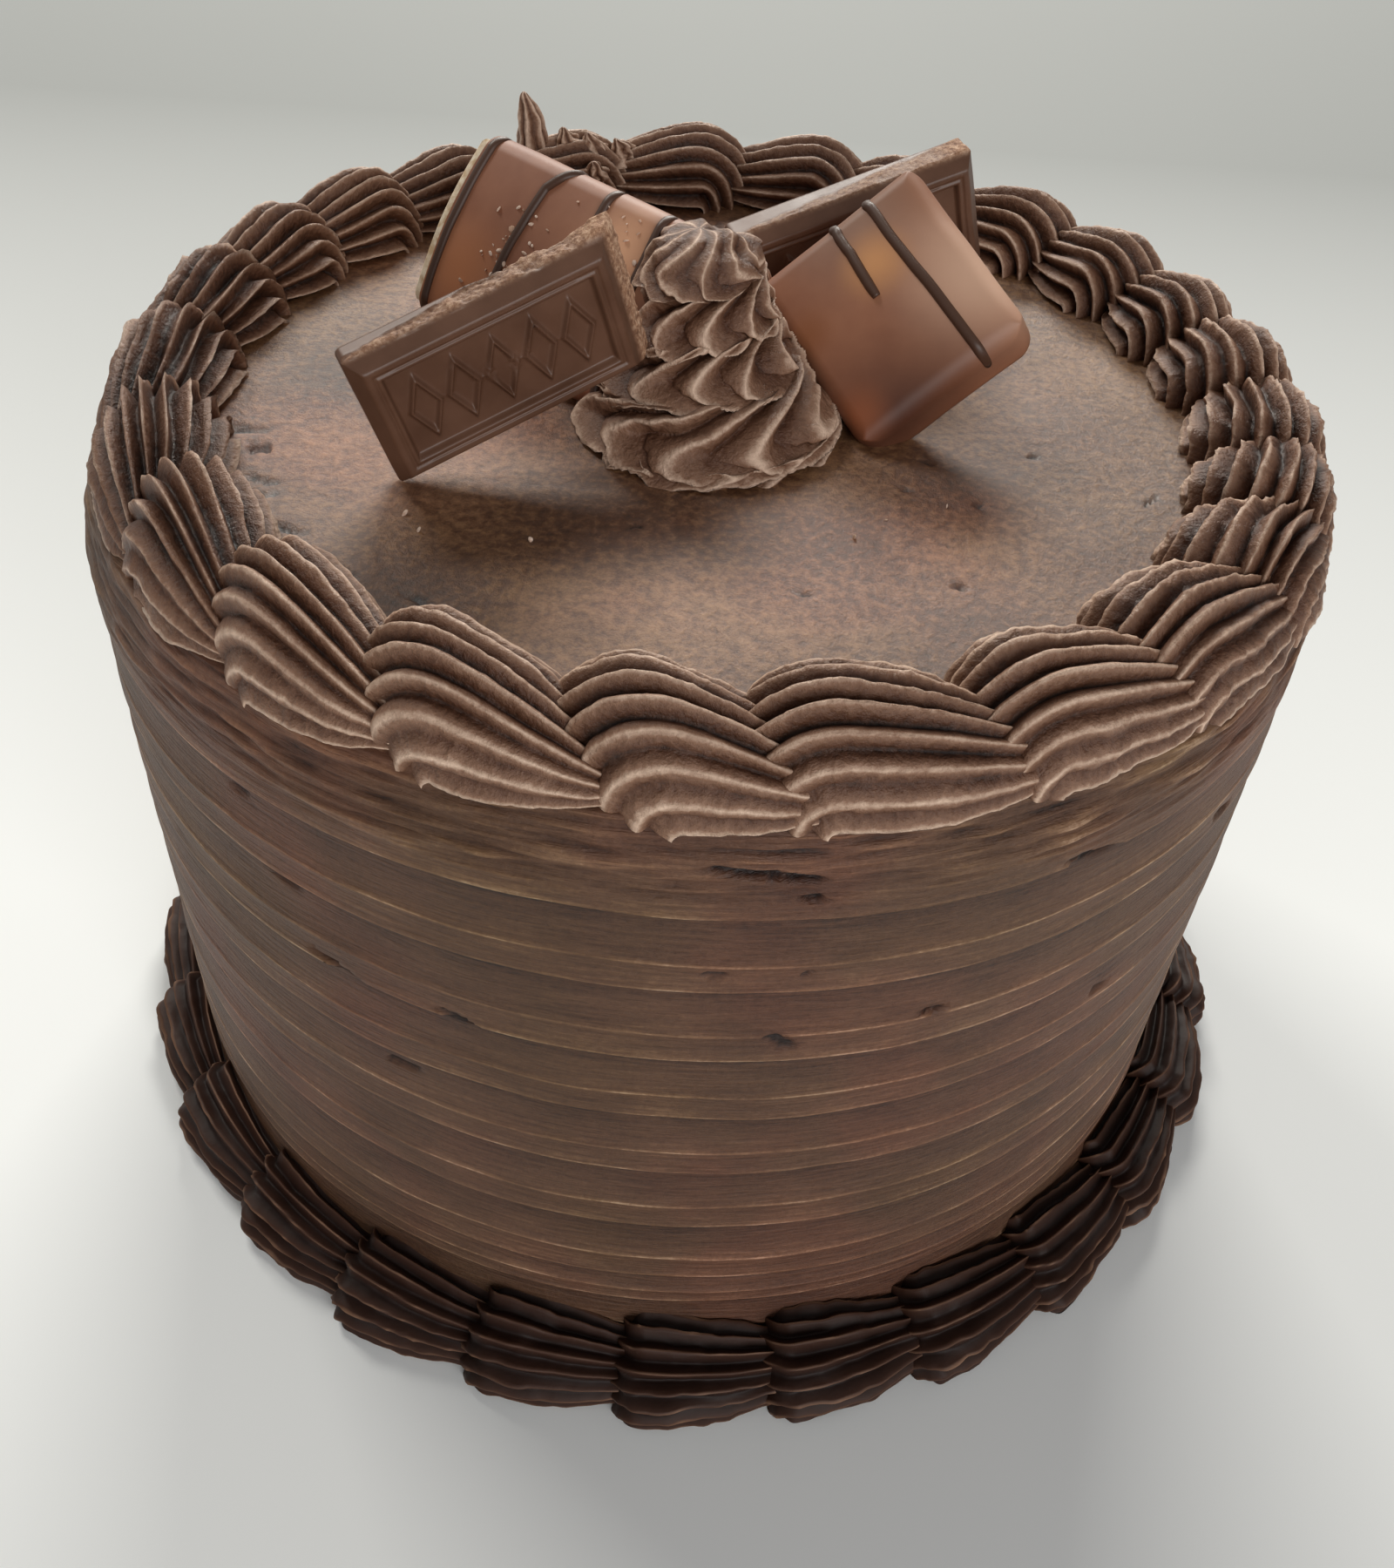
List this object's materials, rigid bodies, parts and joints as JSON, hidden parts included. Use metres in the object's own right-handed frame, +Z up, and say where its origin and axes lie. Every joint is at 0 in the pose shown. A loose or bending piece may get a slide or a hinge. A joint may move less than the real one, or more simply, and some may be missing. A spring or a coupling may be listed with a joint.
{
  "type": "layer cake",
  "caption": "Tall round iced cake with a ring-combed side, piped shell borders at top edge and foot, a piped rosette and chocolate pieces on top.",
  "frame": {"origin": "centre of the flat base, on the surface the cake stands on", "axes": "+Z up along the cake's axis, -Y towards the side with the standing chocolate piece"},
  "size_m": [0.1836, 0.1845, 0.1363],
  "materials": {
    "buttercream": "satin",
    "dark_icing": "semi-gloss",
    "bar_chocolate": "satin",
    "milk_coating": "satin",
    "cream_filling": "matte"
  },
  "bodies": {
    "root": {"cake_body": "buttercream", "top_border": "buttercream", "bottom_border": "dark_icing", "rosette": "buttercream", "bar_piece_front": "bar_chocolate", "bar_piece_back": "bar_chocolate", "coated_bar_left": "milk_coating", "coated_bar_left_filling": "cream_filling", "coated_bar_right": "milk_coating"}
  },
  "joints": []
}
